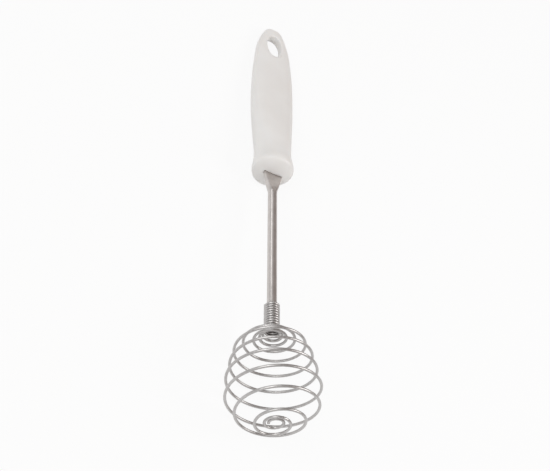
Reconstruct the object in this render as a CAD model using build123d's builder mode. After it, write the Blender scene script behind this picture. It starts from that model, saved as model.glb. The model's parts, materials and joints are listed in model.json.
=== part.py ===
from build123d import *
from math import asin, atan2, cos, degrees, hypot, pi, radians, sin, sqrt, tan
import os

os.makedirs("parts", exist_ok=True)

# A whisk whose working end is one steel wire wound into an open ball. It lies on a table at rest.
# Along the whisk, places count from the handle's mouth: towards the ball for the metal parts,
# and towards the tail for the handle.

# Rod
rod_diameter = 5.0
rod_reach = 104.0
rod_end_chamfer = 0.4
flare_length = 12.0
facet_length = 14.0
paddle_width = 10.5
paddle_thickness = 1.8
paddle_shows = 0.6
tang_length = 46.0
key_hole_diameter = 5.0
key_hole_depth = 30.0

# Handle
handle_length = 128.5
lip_diameter = 22.8
lip_length = 3.2
mouth_chamfer = 1.8
neck_end_place = 15.4
neck_end_width = 21.3
grip_width = 27.0
widest_place = 63.0
shoulder_width = 21.0
shoulder_place = 110.0
tail_radius = 6.0
waist_thickness = 18.6
waist_place = 12.0
grip_thickness = 10.9
tail_thickness = 8.6
edge_chamfer = 1.6
eye_width = 9.0
eye_length = 20.0
eye_place = 106.0
eye_chamfer = 0.9
moulding_gap = 0.1

# Wire
wire_diameter = 1.4
wire_side_count = 5
collar_clearance = 0.06
collar_pitch = 1.9
collar_turns = 9
collar_mouth = 108.6
ball_radius = 22.5
ball_length = 49.5
ball_lean = 2.3
ball_lean_direction = 30.0
wire_end_direction = 210.0

overrun = 2.0

# The ball's turns, from the last tight turn of the collar to the wire's end. Each turn has its own
# share of the ball's radius, and of its length beyond the collar's mouth.
collar_radius = rod_diameter / 2 + collar_clearance + wire_diameter / 2
turn_radius_shares = [0.145, 0.187, 0.263, 0.388, 0.612, 0.806, 0.895, 0.975, 1.0, 0.815, 0.42, 0.223, 0.135]
turn_reach_shares = [-0.058, -0.019, 0.011, 0.047, 0.084, 0.21, 0.366, 0.523, 0.721, 0.892, 1.0, 0.982, 0.978]
ball_turns = len(turn_radius_shares) - 1


def eased(shares, turn):
    """A smooth value between the shares of whole turns."""
    whole = min(int(turn), ball_turns - 1)
    part = turn - whole
    before = shares[max(whole - 1, 0)]
    here = shares[whole]
    there = shares[whole + 1]
    beyond = shares[min(whole + 2, ball_turns)]
    slope_here = (there - before) / 2
    slope_there = (beyond - here) / 2
    rise = there - here
    bend = 3 * rise - 2 * slope_here - slope_there
    return here + part * (slope_here + part * (bend + part * (slope_here + slope_there - 2 * rise)))


def wire_place(turn):
    """Across, up and along places of the wire's middle, for a turn counted from the collar's last tight one."""
    if turn < 0:
        radius = collar_radius
        reach = turn_reach_shares[0] * ball_length + turn * collar_pitch
    else:
        flare = (eased(turn_radius_shares, turn) - turn_radius_shares[0]) / (1 - turn_radius_shares[0])
        radius = collar_radius + (ball_radius - collar_radius) * flare
        reach = eased(turn_reach_shares, turn) * ball_length
    direction = radians(wire_end_direction) + 2 * pi * turn
    across = radius * cos(direction)
    up = radius * sin(direction)
    leaning = tan(radians(ball_lean)) * max(reach, 0) / ball_length
    side = across * cos(radians(ball_lean_direction)) + up * sin(radians(ball_lean_direction))
    across += leaning * reach * cos(radians(ball_lean_direction))
    up += leaning * reach * sin(radians(ball_lean_direction))
    return across, up, collar_mouth + reach - leaning * side


# At rest the whisk leans on the ball's lowest turn and on the underside of its tail, where the flat
# ends. The axis slopes down to the tail by the steepest angle that any point of the ball asks for.
flat_end = sqrt(tail_radius**2 - (tail_thickness / 2) ** 2) - edge_chamfer
tail_rest_place = handle_length - tail_radius + flat_end
thinning = (grip_thickness - tail_thickness) / (handle_length - widest_place)
tail_rest_depth = (tail_thickness + (handle_length - tail_rest_place) * thinning) / 2


def slope_under(turn):
    """The slope at which the table touches the tail and the wire at this turn."""
    across, up, along = wire_place(turn)
    span = along + tail_rest_place
    drop = -up - tail_rest_depth
    return atan2(drop, span) + asin(wire_diameter / 2 / hypot(span, drop))


samples_per_turn = 24
rest_slope = max(slope_under(k / samples_per_turn) for k in range(ball_turns * samples_per_turn))
mouth_height = tail_rest_place * sin(rest_slope) + tail_rest_depth * cos(rest_slope)
mouth_across_table = (collar_mouth + ball_length + wire_diameter / 2 - handle_length) / 2 * cos(rest_slope)

# The whisk's own planes at the handle's mouth. The mouth plane has x across the handle, y out of its
# upper face and z to the ball. The plan plane has x across too, and the side plane has x out of the
# upper face: both have y to the ball.
mouth = Plane(
    origin=(0, mouth_across_table, mouth_height),
    x_dir=(1, 0, 0),
    z_dir=(0, -cos(rest_slope), sin(rest_slope)),
)
plan = Plane(origin=mouth.origin, x_dir=mouth.x_dir, z_dir=-mouth.y_dir)
side = Plane(origin=mouth.origin, x_dir=mouth.y_dir, z_dir=mouth.x_dir)
axis = Axis(mouth.origin, mouth.z_dir)

def tail_meeting(shoulder, heading):
    """The point where an arc that leaves the shoulder on this heading runs into the tail's circle."""
    inward = Vector(heading.Y, -heading.X)
    tail_centre = Vector(0, tail_radius - handle_length)
    away = shoulder - tail_centre
    arc_radius = (tail_radius**2 - away.dot(away)) / (2 * (inward.dot(away) + tail_radius))
    arc_centre = shoulder + inward * arc_radius
    return tail_centre + (tail_centre - arc_centre).normalized() * tail_radius


# The handle: its plan outline turned about the axis, then thinned from above and below, so that a
# round lip and neck run into a flat grip
with BuildPart() as handle:
    with BuildSketch(plan):
        with BuildLine():
            swell = TangentArc(
                (grip_width / 2, -widest_place), (neck_end_width / 2, -neck_end_place), tangent=(0, 1)
            )
            neck = TangentArc(swell @ 1, (lip_diameter / 2, -lip_length), tangent=swell % 1)
            Polyline(neck @ 1, (lip_diameter / 2, 0), (0, 0), (0, -handle_length))
            taper = TangentArc(
                (grip_width / 2, -widest_place), (shoulder_width / 2, -shoulder_place), tangent=(0, -1)
            )
            closing = TangentArc(taper @ 1, tail_meeting(taper @ 1, taper % 1), tangent=taper % 1)
            TangentArc(closing @ 1, (0, -handle_length), tangent=closing % 1)
        make_face()
    revolve(axis=axis)
    chamfer(handle.faces().sort_by(axis)[-1].edges(), length=mouth_chamfer)
    with BuildSketch(side):
        with BuildLine():
            run = Line((tail_thickness / 2, -handle_length), (grip_thickness / 2, -widest_place))
            fall = TangentArc(run @ 1, (waist_thickness / 2, -waist_place), tangent=run % 1)
            rise = TangentArc(fall @ 1, (lip_diameter / 2 + overrun, 0), tangent=fall % 1)
            Polyline(rise @ 1, (grip_width, 0), (grip_width, -handle_length), run @ 0)
        make_face()
        mirror(about=Plane.YZ)
    extrude(amount=grip_width, both=True, mode=Mode.SUBTRACT)
    chamfer(handle.edges(Select.LAST).filter_by(GeomType.BSPLINE), length=edge_chamfer)
    with BuildSketch(plan):
        with Locations((0, -eye_place)):
            Ellipse(eye_width / 2, eye_length / 2)
    extrude(amount=tail_thickness, both=True, mode=Mode.SUBTRACT)
    chamfer(handle.edges(Select.LAST).filter_by(GeomType.LINE, reverse=True), length=eye_chamfer)
    with BuildSketch(mouth):
        Circle(paddle_width / 2 + moulding_gap)
        Rectangle(paddle_width + overrun, paddle_thickness + 2 * moulding_gap, mode=Mode.INTERSECT)
    extrude(amount=-(tang_length + moulding_gap), mode=Mode.SUBTRACT)
    with BuildSketch(plan):
        with Locations((0, -key_hole_depth)):
            Circle(key_hole_diameter / 2 - moulding_gap)
    extrude(amount=paddle_thickness, both=True)
handle.part.label = "handle"

# The rod: a round bar forged out to a flat paddle, whose tang is keyed into the handle. The bar is
# turned with its flare, and two flats then leave a three-cornered facet above and below.
with BuildPart() as rod:
    with BuildSketch(plan):
        with BuildLine():
            Polyline(
                (0, -tang_length),
                (0, rod_reach),
                (rod_diameter / 2, rod_reach),
                (rod_diameter / 2, paddle_shows + flare_length),
                (paddle_width / 2, paddle_shows),
                (paddle_width / 2, -tang_length),
                close=True,
            )
        make_face()
    revolve(axis=axis)
    chamfer(rod.faces().sort_by(axis)[-1].edges(), length=rod_end_chamfer)
    with BuildSketch(side):
        with BuildLine():
            Polyline(
                (rod_diameter / 2, paddle_shows + facet_length),
                (paddle_thickness / 2, paddle_shows),
                (paddle_thickness / 2, -tang_length),
                (paddle_width, -tang_length),
                (paddle_width, paddle_shows + facet_length),
                close=True,
            )
        make_face()
        mirror(about=Plane.YZ)
    extrude(amount=paddle_width, both=True, mode=Mode.SUBTRACT)
    with BuildSketch(plan):
        with Locations((0, -key_hole_depth)):
            Circle(key_hole_diameter / 2)
    extrude(amount=paddle_thickness, both=True, mode=Mode.SUBTRACT)
rod.part.label = "rod"


def wire_point(turn):
    """The wire's middle at a turn, placed on the whisk's axis."""
    return mouth.from_local_coords(Vector(*wire_place(turn)))


def wire_heading(turn):
    """The wire's direction at a turn, towards its end in the ball."""
    step = 1 / 10000
    return (wire_point(turn + step) - wire_point(turn - step)).normalized()


def add_half_turn(turn):
    """Adds two arcs, tangent where they meet, along the half turn that starts here."""
    start, end = wire_point(turn), wire_point(turn + 0.5)
    out, into = wire_heading(turn), wire_heading(turn + 0.5)
    chord = end - start
    square = 2 * (1 - out.dot(into))
    along = chord.dot(out + into)
    arm = (sqrt(along * along + square * chord.dot(chord)) - along) / square
    joint = (start + end + (out - into) * arm) / 2
    TangentArc(start, joint, tangent=out)
    TangentArc(joint, end, tangent=((end - into * arm) - (start + out * arm)).normalized())


# The wire: a tight collar round the rod's end, then the open ball, closed by a flat curl at the tip
with BuildPart() as whisk_wire:
    with BuildLine() as coil:
        for half_turn in range(-2 * collar_turns, 2 * ball_turns):
            add_half_turn(half_turn / 2)
    with BuildSketch(Plane(origin=wire_point(-collar_turns), z_dir=wire_heading(-collar_turns))):
        RegularPolygon(wire_diameter / 2, wire_side_count)
    sweep()
whisk_wire.part.label = "whisk_wire"

points_per_arc = 6
arcs = coil.edges()
path_points = [[arc.position_at(k / points_per_arc) for k in range(points_per_arc)] for arc in arcs]
nearest = min(
    (p - q).length
    for i, first in enumerate(path_points)
    for second in path_points[i + 3 :]
    for p in first
    for q in second
)
print("arcs", len(arcs), "wire length", round(sum(arc.length for arc in arcs), 1))
print("least gap of the wire to itself", round(nearest - wire_diameter, 3), "mm")
print("slope at rest", round(degrees(rest_slope), 2), "degrees")

export_step(handle.part, "parts/handle.step")
export_step(rod.part, "parts/rod.step")
export_step(whisk_wire.part, "parts/whisk_wire.step")
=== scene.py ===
import json
from math import asin, copysign, cos, pi, radians, sin, sqrt, tan

import bmesh
import bpy
import numpy as np
from mathutils import Matrix, Vector


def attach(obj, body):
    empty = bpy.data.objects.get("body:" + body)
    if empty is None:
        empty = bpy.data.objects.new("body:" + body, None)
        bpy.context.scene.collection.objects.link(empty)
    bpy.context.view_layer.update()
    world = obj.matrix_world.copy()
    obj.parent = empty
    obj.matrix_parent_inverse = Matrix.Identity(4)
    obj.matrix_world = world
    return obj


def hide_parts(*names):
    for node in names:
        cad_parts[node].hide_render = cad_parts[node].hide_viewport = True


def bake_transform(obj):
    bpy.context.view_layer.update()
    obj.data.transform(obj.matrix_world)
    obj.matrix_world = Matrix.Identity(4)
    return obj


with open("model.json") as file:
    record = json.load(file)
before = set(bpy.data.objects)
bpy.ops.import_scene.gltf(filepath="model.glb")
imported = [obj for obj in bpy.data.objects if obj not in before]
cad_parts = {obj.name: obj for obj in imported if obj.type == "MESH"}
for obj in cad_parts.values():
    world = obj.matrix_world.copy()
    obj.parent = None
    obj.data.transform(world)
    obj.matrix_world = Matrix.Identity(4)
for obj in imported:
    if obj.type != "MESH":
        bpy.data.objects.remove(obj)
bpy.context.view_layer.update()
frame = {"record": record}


# Where the whisk lies: on the table, on its ball and on the underside of its tail. Its joint runs
# along the rod towards the handle, and its hanging eye tells where the handle's mouth is. Sizes are
# in millimetres, and places are counted from that mouth.
MM = 0.001
mount_place = 106.0
record = frame["record"]
to_ball = -Vector(record["behaviour"]["joints"][0]["axis"]).normalized()
across = Vector((1, 0, 0))
upper = to_ball.cross(across)
mouth = Vector(record["mounts"][0]["pos_m"]) + to_ball * mount_place * MM
whisk = Matrix((across, upper, to_ball)).transposed().to_4x4() * MM
whisk.translation = mouth


# The camera: above and in front of the ball, turned so that the rod runs up the picture. It looks at
# a point on the rod from the photograph's distance.
image_width = 550
focal_pixels = 989.0
sensor_width = 36.0
nearest_shown = 10.0
aim_place = 46.45
camera_distance = 510.5
camera_side_step = 1.42
axis_tilt = radians(41.55)
axis_roll = radians(29.5)
camera_turn = 0.0028

photo_right = across * cos(axis_roll) + upper * sin(axis_roll)
towards_camera = upper * cos(axis_roll) - across * sin(axis_roll)
camera_back = to_ball * sin(axis_tilt) + towards_camera * cos(axis_tilt)
camera_up = towards_camera * sin(axis_tilt) - to_ball * cos(axis_tilt)
camera_data = bpy.data.cameras.new("photograph")
camera_data.sensor_width = sensor_width
camera_data.lens = sensor_width * focal_pixels / image_width
camera_data.clip_start = nearest_shown * MM
camera = bpy.data.objects.new("photograph", camera_data)
camera_place = mouth + (to_ball * aim_place + photo_right * camera_side_step) * MM
camera_place += camera_back * camera_distance * MM
facing = Matrix((photo_right, camera_up, camera_back)).transposed().to_4x4()
camera.matrix_world = Matrix.Translation(camera_place) @ facing @ Matrix.Rotation(camera_turn, 4, "Z")
bpy.context.scene.collection.objects.link(camera)
bpy.context.scene.camera = camera


# The handle: one moulding of white plastic, with a satin skin. A round lip and neck run into a flat
# oval grip, with a hanging eye through its tail. It is moulded over the rod's tang.
handle_length = 126.2
lip_diameter = 23.0
lip_length = 3.2
mouth_dome = 2.5
dome_foot = 0.8
neck_end_place = 16.5
straight_end_place = 40.6
straight_end_width = 24.9
grip_width = 26.8
widest_share = 0.54
widest_place = widest_share * handle_length
shoulder_width = 22.9
shoulder_place = 103.0
tail_radius = 7.0
waist_place = 17.0
upper_waist_height = 8.4
lower_waist_height = 9.0
upper_grip_height = 3.5
lower_grip_height = 6.2
upper_tail_height = 1.9
lower_tail_height = 3.6
edge_rounding = 2.4
neck_softness = 0.8
lip_overrun = 2.0
fullness_places = (9.0, 45.0, 95.0, 112.0)
fullness_powers = (2.0, 2.6, 2.6, 3.0)
eye_place = 108.6
eye_width = 9.8
eye_length = 19.2
eye_front_rounding = 0.9
eye_back_rounding = 2.0
slot_width = 10.9
slot_thickness = 2.2
slot_depth = 14.0
cut_overrun = 2.0
ring_points = 72
ring_step = 1.2
tip_step = ring_step / 3
dome_rings = 12
rounding_rings = 8
least_bend = 1e-6
ring_weld = 1e-5
cut_weld = 0.02
plastic_stops = [(0.3, (0.785, 0.77, 0.75)), (0.7, (0.82, 0.81, 0.795))]
plastic_roughness = 0.36
plastic_roughness_rise = 0.10


class Field:
    """What a node gives, such as a number that changes over a surface, with the sums used on it."""

    def __init__(self, tree, socket):
        self.tree = tree
        self.socket = socket

    def __add__(self, other):
        return add_node(self.tree, "Math", self, other, settings={"operation": "ADD"})

    def __radd__(self, other):
        return add_node(self.tree, "Math", other, self, settings={"operation": "ADD"})

    def __mul__(self, other):
        return add_node(self.tree, "Math", self, other, settings={"operation": "MULTIPLY"})

    def __rmul__(self, other):
        return add_node(self.tree, "Math", other, self, settings={"operation": "MULTIPLY"})


def add_node(tree, kind, *in_order, output=0, settings=(), **by_name):
    """Adds a node: its settings first, then its sockets' values or links, in order or by name."""
    node = tree.nodes.new("ShaderNode" + kind)
    for name, value in dict(settings).items():
        if name == "stops":
            for element, (place, colour) in zip(node.color_ramp.elements, value):
                element.position = place
                element.color = (*colour, 1.0)
        else:
            setattr(node, name, value)
    sockets = [*zip(node.inputs, in_order)]
    sockets += [(node.inputs[name.replace("_", " ")], value) for name, value in by_name.items()]
    for socket, value in sockets:
        if isinstance(value, Field):
            tree.links.new(value.socket, socket)
        else:
            socket.default_value = value
    return Field(tree, node.outputs[output])


class Finish:
    """A material with one Principled surface. Fixed numbers are set on the surface's own sockets."""

    def __init__(self, name, **fixed):
        self.material = bpy.data.materials.new(name)
        self.material.use_nodes = True
        self.tree = self.material.node_tree
        self.surface = self.tree.nodes["Principled BSDF"]
        for name, value in fixed.items():
            self.surface.inputs[name.replace("_", " ")].default_value = value

    def node(self, kind, *in_order, **others):
        """Adds a node to this material."""
        return add_node(self.tree, kind, *in_order, **others)

    def surface_takes(self, **fields):
        """Links what changes over the surface."""
        for name, field in fields.items():
            self.tree.links.new(field.socket, self.surface.inputs[name.replace("_", " ")])


def tangent_arc(start, heading, end, step):
    """Points along the arc that leaves start on this heading and reaches end, and its last heading."""
    chord = end - start
    bend = heading.angle_signed(chord)
    count = max(2, round(chord.length / step))
    points = []
    for k in range(1, count + 1):
        part = k / count
        reach = chord.length * (sin(part * bend) / sin(bend) if abs(bend) > least_bend else part)
        turned = heading.copy()
        turned.rotate(Matrix.Rotation(-part * bend, 2))
        points.append(start + turned * reach)
    last = heading.copy()
    last.rotate(Matrix.Rotation(-2 * bend, 2))
    return points, last


def loft_rings(count, places, shape):
    """A closed skin through rings: a circle is extruded from place to place, and shape sets each."""
    skin = bmesh.new()
    ring = bmesh.ops.create_circle(skin, cap_ends=True, segments=count, radius=1.0)["verts"]
    edges = list(skin.edges)
    for k, vert in enumerate(ring):
        vert.co = shape(places[0], k / count)
    for place in places[1:]:
        new = bmesh.ops.extrude_edge_only(skin, edges=edges)["geom"]
        edges = [item for item in new if isinstance(item, bmesh.types.BMEdge) and item.is_boundary]
        fresh = {vert for edge in edges for vert in edge.verts}
        neighbours = [[edge.other_vert(vert) for edge in vert.link_edges] for vert in ring]
        ring = [next(vert for vert in beside if vert in fresh) for beside in neighbours]
        for k, vert in enumerate(ring):
            vert.co = shape(place, k / count)
    bmesh.ops.contextual_create(skin, geom=edges)
    bmesh.ops.remove_doubles(skin, verts=skin.verts, dist=ring_weld)
    bmesh.ops.recalc_face_normals(skin, faces=skin.faces)
    return skin


def add_piece(name, mesh, material, body, slot, *nodes):
    """A finished piece, smooth shaded. It stands for its CAD node and rides on a body, if one is given."""
    piece = bpy.data.objects.new(name, mesh)
    bpy.context.scene.collection.objects.link(piece)
    mesh.materials.clear()
    mesh.materials.append(material)
    for polygon in mesh.polygons:
        polygon.use_smooth = True
    if body:
        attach(piece, body)
    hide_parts(*nodes)
    return piece


# The plan outline runs from the domed mouth to the tail's end. From the lip on, it is made of lines
# and arcs that each leave on the heading of the last.
dome_turns = [k / dome_rings * pi / 2 for k in range(1, dome_rings + 1)]
dome_height = dome_foot + mouth_dome
dome = [Vector((lip_diameter / 2 * sin(turn), dome_foot - dome_height * cos(turn))) for turn in dome_turns]
widest = Vector((grip_width / 2, widest_place))
straight_end = Vector((straight_end_width / 2, straight_end_place))
swell, heading = tangent_arc(widest, Vector((0, -1)), straight_end, ring_step)
straight_count = round((straight_end_place - neck_end_place) / ring_step)
straight = [straight_end + heading * (k * ring_step) for k in range(1, straight_count + 1)]
lip_corner = Vector((lip_diameter / 2, lip_length))
neck, heading = tangent_arc(straight[-1], heading, lip_corner, ring_step)
shoulder = Vector((shoulder_width / 2, shoulder_place))
taper, heading = tangent_arc(widest, Vector((0, 1)), shoulder, ring_step)
tail_centre = Vector((0, handle_length - tail_radius))
inward = Vector((-heading.y, heading.x))
away = taper[-1] - tail_centre
closing_radius = (tail_radius**2 - away.dot(away)) / (2 * (inward.dot(away) + tail_radius))
closing_centre = taper[-1] + inward * closing_radius
meeting = tail_centre + (tail_centre - closing_centre).normalized() * tail_radius
closing, heading = tangent_arc(taper[-1], heading, meeting, ring_step)
tip, heading = tangent_arc(meeting, heading, Vector((0, handle_length)), tip_step)
outline = dome + neck[::-1] + straight[::-1] + swell[::-1] + [widest] + taper + closing + tip[:-1]


def side_outline(waist_height, grip_height, tail_height):
    """Places and heights along the upper or the lower side: round at the lip, then thin to the tail."""
    tail_end = Vector((tail_height, handle_length))
    run, heading = tangent_arc(tail_end, Vector((0, -1)), Vector((grip_height, widest_place)), ring_step)
    fall, heading = tangent_arc(run[-1], heading, Vector((waist_height, waist_place)), ring_step)
    past_lip = Vector((lip_diameter / 2 + lip_overrun, 0))
    rise, heading = tangent_arc(fall[-1], heading, past_lip, ring_step)
    points = rise[::-1] + fall[::-1] + run[::-1] + [tail_end]
    return [point.y for point in points], [point.x for point in points]


upper_side = side_outline(upper_waist_height, upper_grip_height, upper_tail_height)
lower_side = side_outline(lower_waist_height, lower_grip_height, lower_tail_height)


def side_reach(side, half_width, place):
    """How far the skin reaches up or down here, with the neck's round blended into the flatter grip."""
    if place < lip_length:
        return half_width
    height = float(np.interp(place, *side))
    blend = max(neck_softness - abs(half_width - height), 0) / neck_softness
    return min(half_width, height) - blend**2 * neck_softness / 4


def handle_ring(point, part):
    """A point of the handle's skin: an oval that is round at the neck and fuller at the grip."""
    half_width, place = point
    top = side_reach(upper_side, half_width, place)
    bottom = side_reach(lower_side, half_width, place)
    at_end = (place - handle_length + edge_rounding) / edge_rounding
    half_thickness = (top + bottom) / 2 * sqrt(1 - min(max(at_end, 0), 1) ** 2)
    power = 2 / float(np.interp(place, fullness_places, fullness_powers))
    turn = 2 * pi * part
    x = copysign(abs(cos(turn)) ** power, cos(turn))
    y = copysign(abs(sin(turn)) ** power, sin(turn))
    return Vector((x * half_width, (top - bottom) / 2 + y * half_thickness, -place))


front_height = float(np.interp(eye_place, *upper_side))
back_height = float(np.interp(eye_place, *lower_side))
rounding_turns = [k / rounding_rings * pi / 2 for k in range(rounding_rings + 1)]
eye_heights = [-back_height - cut_overrun]
eye_heights += [-back_height + eye_back_rounding * (1 - cos(turn)) for turn in rounding_turns]
eye_heights += [front_height - eye_front_rounding * (1 - cos(turn)) for turn in rounding_turns[::-1]]
eye_heights += [front_height + cut_overrun]


def eye_ring(height, part):
    """A point of the eye's wall, which opens in a quarter round at the front and at the back."""
    into_front = min(max(height - front_height + eye_front_rounding, 0), eye_front_rounding)
    into_back = min(max(-height - back_height + eye_back_rounding, 0), eye_back_rounding)
    flare = eye_front_rounding - sqrt(eye_front_rounding**2 - into_front**2)
    flare += eye_back_rounding - sqrt(eye_back_rounding**2 - into_back**2)
    turn = 2 * pi * part
    wall = Vector((eye_width / 2 * cos(turn), eye_length / 2 * sin(turn)))
    outward = Vector((cos(turn) / eye_width, sin(turn) / eye_length)).normalized()
    point = wall + outward * flare
    return Vector((point.x, height, point.y - eye_place))


def add_for_cutting(name, skin):
    """An object that takes part in the cutting of the eye and the slot, and is removed afterwards."""
    mesh = bpy.data.meshes.new(name)
    skin.to_mesh(mesh)
    piece = bpy.data.objects.new(name, mesh)
    bpy.context.scene.collection.objects.link(piece)
    return piece


slot_length = slot_depth + mouth_dome + cut_overrun
slot_middle = (mouth_dome + cut_overrun - slot_depth) / 2
slot_skin = bmesh.new()
bmesh.ops.create_cube(slot_skin, size=1.0)
bmesh.ops.scale(slot_skin, verts=slot_skin.verts, vec=(slot_width, slot_thickness, slot_length))
bmesh.ops.translate(slot_skin, verts=slot_skin.verts, vec=(0, 0, slot_middle))
uncut = add_for_cutting("handle_uncut", loft_rings(ring_points, outline, handle_ring))
eye_cutter = add_for_cutting("eye", loft_rings(ring_points, eye_heights, eye_ring))
slot_cutter = add_for_cutting("slot", slot_skin)
for cutter in (eye_cutter, slot_cutter):
    cut = uncut.modifiers.new(cutter.name, "BOOLEAN")
    cut.operation = "DIFFERENCE"
    cut.solver = "EXACT"
    cut.object = cutter
cut_handle = uncut.evaluated_get(bpy.context.evaluated_depsgraph_get())
cut_mesh = bpy.data.meshes.new_from_object(cut_handle)
for piece in (uncut, eye_cutter, slot_cutter):
    bpy.data.objects.remove(piece)
handle_skin = bmesh.new()
handle_skin.from_mesh(cut_mesh)
bmesh.ops.remove_doubles(handle_skin, verts=handle_skin.verts, dist=cut_weld)
handle_skin.transform(whisk)
handle_mesh = bpy.data.meshes.new("handle")
handle_skin.to_mesh(handle_mesh)

plastic = Finish(
    "white_plastic",
    IOR=1.49,
    Subsurface_Weight=0.12,
    Subsurface_Scale=0.004,
    Subsurface_Radius=(1.0, 0.9, 0.8),
)
skin_place = plastic.node("TexCoord", output="Object")
cloud = plastic.node("TexNoise", Vector=skin_place, Scale=45.0, Detail=3.0, Roughness=0.5)
grain = plastic.node("TexNoise", Vector=skin_place, Scale=2600.0, Detail=2.0, Roughness=0.6)
plastic.surface_takes(
    Base_Color=plastic.node("ValToRGB", settings={"stops": plastic_stops}, Fac=cloud),
    Roughness=plastic_roughness + plastic_roughness_rise * cloud,
    Normal=plastic.node("Bump", Strength=0.12, Distance=0.00004, Height=grain),
)
add_piece("handle_moulding", handle_mesh, plastic.material, "grip", "handle_plastic", "handle")


# The rod: one bright steel bar, drawn round. Its handle end is forged flat into a paddle, with a
# three-cornered facet above and below, and goes on as a tang inside the handle.
rod_diameter = 5.0
rod_reach = 104.0
rod_end_chamfer = 0.4
flare_length = 12.0
facet_length = 14.0
paddle_width = 10.5
paddle_thickness = 1.8
paddle_shows = 3.4
tang_length = 46.0
forged_edge = 0.12
sharp_angle = 0.3
flank_share = 0.7
rod_points = 80
fishtail_rings = 28
shank_places = (40.0, 70.0)
bar_stops = [(0.3, (0.56, 0.525, 0.505)), (0.7, (0.66, 0.625, 0.605))]
bar_roughness = 0.24
bar_roughness_rise = 0.12


def rod_radius(place):
    """The radius of the turned shape that the flats are struck from."""
    flare = 1 - (place - paddle_shows) / flare_length
    return rod_diameter / 2 + (paddle_width - rod_diameter) / 2 * min(max(flare, 0), 1)


def rod_flat(place):
    """Half the thickness between the struck flats."""
    slope = (place - paddle_shows) / facet_length
    return paddle_thickness / 2 + (rod_diameter - paddle_thickness) / 2 * max(slope, 0)


def rod_ring(place, part):
    """A point of the rod's skin: round, with a flat struck across it above and below."""
    radius = rod_radius(place)
    if place > rod_reach - rod_end_chamfer:
        radius -= rod_end_chamfer
    corner = asin(min(rod_flat(place) / radius, 1))
    quarter, along = divmod(4 * part, 1)
    if quarter % 2:
        along = 1 - along
    if along < flank_share:
        turn = corner * along / flank_share
        x, y = radius * cos(turn), radius * sin(turn)
    else:
        x = radius * cos(corner) * (1 - along) / (1 - flank_share)
        y = radius * sin(corner)
    return Vector((x * (1 if quarter in (0, 3) else -1), y * (1 if quarter < 2 else -1), place))


fishtail_places = [paddle_shows + facet_length * k / fishtail_rings for k in range(fishtail_rings + 1)]
rod_end_places = (rod_reach - rod_end_chamfer, rod_reach)
rod_places = [-tang_length, *fishtail_places, *shank_places, *rod_end_places]
rod_skin = loft_rings(rod_points, rod_places, rod_ring)
whole_edges = [edge for edge in rod_skin.edges if edge.is_manifold]
sharp = [edge for edge in whole_edges if edge.calc_face_angle() > sharp_angle]
bmesh.ops.bevel(
    rod_skin,
    geom=sharp,
    offset=forged_edge,
    offset_type="OFFSET",
    segments=2,
    profile=0.5,
    affect="EDGES",
    material=-1,
    clamp_overlap=True,
)
rod_skin.transform(whisk)
rod_mesh = bpy.data.meshes.new("rod")
rod_skin.to_mesh(rod_mesh)

bar_steel = Finish("drawn_bar", Metallic=1.0)
skin_place = bar_steel.node("TexCoord", output="Object")
drawn = bar_steel.node("Mapping", Vector=skin_place, Scale=(2400.0, 60.0, 2400.0))
lines = bar_steel.node("TexNoise", Vector=drawn, Scale=1.0, Detail=3.0, Roughness=0.6)
patches = bar_steel.node("TexNoise", Vector=skin_place, Scale=260.0, Detail=4.0, Roughness=0.65)
bar_steel.surface_takes(
    Base_Color=bar_steel.node("ValToRGB", settings={"stops": bar_stops}, Fac=patches),
    Roughness=bar_roughness + bar_roughness_rise * patches,
    Normal=bar_steel.node("Bump", Strength=0.25, Distance=0.00003, Height=lines),
)
add_piece("rod_bar", rod_mesh, bar_steel.material, "grip", "rod_steel", "rod")


# The whisk wire: one length of bright spring wire. A close collar is wound tight on the rod's end,
# and its turns then flare into an open ball, which a small flat curl closes at the tip.
wire_diameter = 1.38
collar_clearance = 0.06
collar_pitch = 1.43
collar_turns = 11.0
collar_mouth = 110.2
ball_radius = 22.0
ball_length = 47.9
ball_lean = radians(2.3)
ball_lean_direction = radians(30.0)
wire_end_direction = radians(210.0)
points_per_turn = 64
wire_stops = [(0.3, (0.46, 0.44, 0.43)), (0.7, (0.56, 0.55, 0.545))]
wire_roughness = 0.28
wire_roughness_rise = 0.12

# At each whole turn from the collar's last tight one: its radius as a share of the ball's radius, and
# how far it lies from the collar's mouth as a share of the ball's length.
turn_radius_shares = [0.145, 0.187, 0.263, 0.388, 0.612, 0.806, 0.895, 0.975, 1.0]
turn_radius_shares += [0.815, 0.42, 0.223, 0.135]
turn_reach_shares = [-0.06, -0.02, 0.011, 0.04, 0.066, 0.177, 0.338, 0.505, 0.708]
turn_reach_shares += [0.885, 1.0, 0.982, 0.978]
ball_turns = len(turn_radius_shares) - 1
collar_radius = rod_diameter / 2 + collar_clearance + wire_diameter / 2


def eased(shares, turn):
    """A smooth value between the shares of whole turns."""
    whole = min(int(turn), ball_turns - 1)
    part = turn - whole
    before = shares[max(whole - 1, 0)]
    here = shares[whole]
    there = shares[whole + 1]
    beyond = shares[min(whole + 2, ball_turns)]
    slope_here = (there - before) / 2
    slope_there = (beyond - here) / 2
    rise = there - here
    bend = 3 * rise - 2 * slope_here - slope_there
    return here + part * (slope_here + part * (bend + part * (slope_here + slope_there - 2 * rise)))


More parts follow.
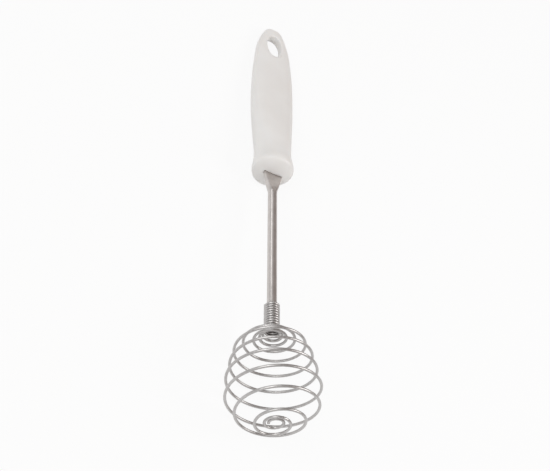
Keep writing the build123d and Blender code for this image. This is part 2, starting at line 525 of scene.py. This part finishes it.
def wire_place(turn):
    """The place of the wire's middle, at a turn that is counted from the collar's last tight one."""
    if turn < 0:
        radius = collar_radius
        reach = turn_reach_shares[0] * ball_length + turn * collar_pitch
    else:
        flare = (eased(turn_radius_shares, turn) - turn_radius_shares[0]) / (1 - turn_radius_shares[0])
        radius = collar_radius + (ball_radius - collar_radius) * flare
        reach = eased(turn_reach_shares, turn) * ball_length
    direction = wire_end_direction + 2 * pi * turn
    x = radius * cos(direction)
    y = radius * sin(direction)
    leaning = tan(ball_lean) * max(reach, 0) / ball_length
    side = x * cos(ball_lean_direction) + y * sin(ball_lean_direction)
    x += leaning * reach * cos(ball_lean_direction)
    y += leaning * reach * sin(ball_lean_direction)
    return Vector((x, y, collar_mouth + reach - leaning * side))


wire_curve = bpy.data.curves.new("whisk_wire", "CURVE")
wire_curve.dimensions = "3D"
wire_curve.bevel_depth = wire_diameter / 2 * MM
wire_curve.bevel_resolution = 3
wire_curve.use_fill_caps = True
strand = wire_curve.splines.new("POLY")
first_point = -round(collar_turns * points_per_turn)
last_point = ball_turns * points_per_turn
strand.points.add(last_point - first_point)
for point, k in zip(strand.points, range(first_point, last_point + 1)):
    point.co = (*(whisk @ wire_place(k / points_per_turn)), 1.0)
wire_line = bpy.data.objects.new("whisk_wire_line", wire_curve)
bpy.context.scene.collection.objects.link(wire_line)
bevelled_line = wire_line.evaluated_get(bpy.context.evaluated_depsgraph_get())
wire_mesh = bpy.data.meshes.new_from_object(bevelled_line)
bpy.data.objects.remove(wire_line)

wire_steel = Finish("spring_wire", Metallic=1.0)
skin_place = wire_steel.node("TexCoord", output="Object")
dull = wire_steel.node("TexNoise", Vector=skin_place, Scale=900.0, Detail=3.0, Roughness=0.6)
wire_steel.surface_takes(
    Base_Color=wire_steel.node("ValToRGB", settings={"stops": wire_stops}, Fac=dull),
    Roughness=wire_roughness + wire_roughness_rise * dull,
)
wire_piece = add_piece("wound_wire", wire_mesh, wire_steel.material, None, "wire_steel", "whisk_wire")
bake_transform(wire_piece)


# The table: one plain pale sheet. It keeps the whisk's soft shadow, and looks nearly white to the
# camera and in the steel.
table_size = 6.0
table_white_share = 0.9
floor_mesh = bpy.data.meshes.new("table")
floor_skin = bmesh.new()
bmesh.ops.create_grid(floor_skin, x_segments=1, y_segments=1, size=table_size)
floor_skin.to_mesh(floor_mesh)
table = bpy.data.objects.new("table", floor_mesh)
bpy.context.scene.collection.objects.link(table)
table_white = Finish("table_white", Base_Color=(0.75, 0.75, 0.75, 1.0), Roughness=0.9)
seen_directly = table_white.node("LightPath", output="Is Camera Ray")
seen_in_metal = table_white.node("LightPath", output="Is Glossy Ray")
seen_through = table_white.node("LightPath", output="Is Transmission Ray")
seen = seen_directly + seen_in_metal + seen_through
shaded = Field(table_white.tree, table_white.surface.outputs["BSDF"])
plain_white = table_white.node("Emission", Color=(1.0, 1.0, 1.0, 1.0), Strength=1.0)
table_shown = table_white.node("MixShader", table_white_share * seen, shaded, plain_white)
table_output = table_white.tree.nodes["Material Output"]
table_white.tree.links.new(table_shown.socket, table_output.inputs["Surface"])
floor_mesh.materials.append(table_white.material)


# The light: a soft pale room that is dimmer and browner on the right, a broad lamp on the left, a
# smaller one on the right, and a weak one behind on the left that draws the bright line on the rod.
# The camera sees the room's walls as white.
room_stops = [(0.05, (0.66, 0.66, 0.66)), (0.5, (0.37, 0.335, 0.32))]
lamp_aim = mouth + to_ball * aim_place * MM


def add_lamp(name, place, size, power):
    """A square soft lamp that faces the middle of the rod. Its place and size are in metres."""
    lamp_data = bpy.data.lights.new(name, "AREA")
    lamp_data.size = size
    lamp_data.energy = power
    lamp = bpy.data.objects.new(name, lamp_data)
    turned = (Vector(place) - lamp_aim).to_track_quat("Z", "Y").to_matrix().to_4x4()
    lamp.matrix_world = Matrix.Translation(place) @ turned
    bpy.context.scene.collection.objects.link(lamp)


add_lamp("left_lamp", place=(-0.9, -0.5, 1.1), size=0.9, power=7.2)
add_lamp("back_lamp", place=(-0.82, 0.98, 0.72), size=0.45, power=0.9)
add_lamp("right_lamp", place=(0.9, -0.3, 0.9), size=0.7, power=7.0)

room = bpy.data.worlds.new("room")
room.use_nodes = True
bpy.context.scene.world = room
room_tree = room.node_tree
room_tree.nodes.remove(room_tree.nodes["Background"])
dot_product = {"operation": "DOT_PRODUCT"}
direction = add_node(room_tree, "TexCoord", output="Generated")
to_right = add_node(
    room_tree, "VectorMath", direction, photo_right, output="Value", settings=dot_product
)
walls = add_node(room_tree, "ValToRGB", settings={"stops": room_stops}, Fac=to_right)
room_light = add_node(room_tree, "Background", Color=walls)
backdrop = add_node(room_tree, "Background", Color=(1.0, 1.0, 1.0, 1.0))
seen_directly = add_node(room_tree, "LightPath", output="Is Camera Ray")
room_shown = add_node(room_tree, "MixShader", seen_directly, room_light, backdrop)
room_tree.links.new(room_shown.socket, room_tree.nodes["World Output"].inputs["Surface"])
bpy.context.scene.view_settings.view_transform = "Standard"
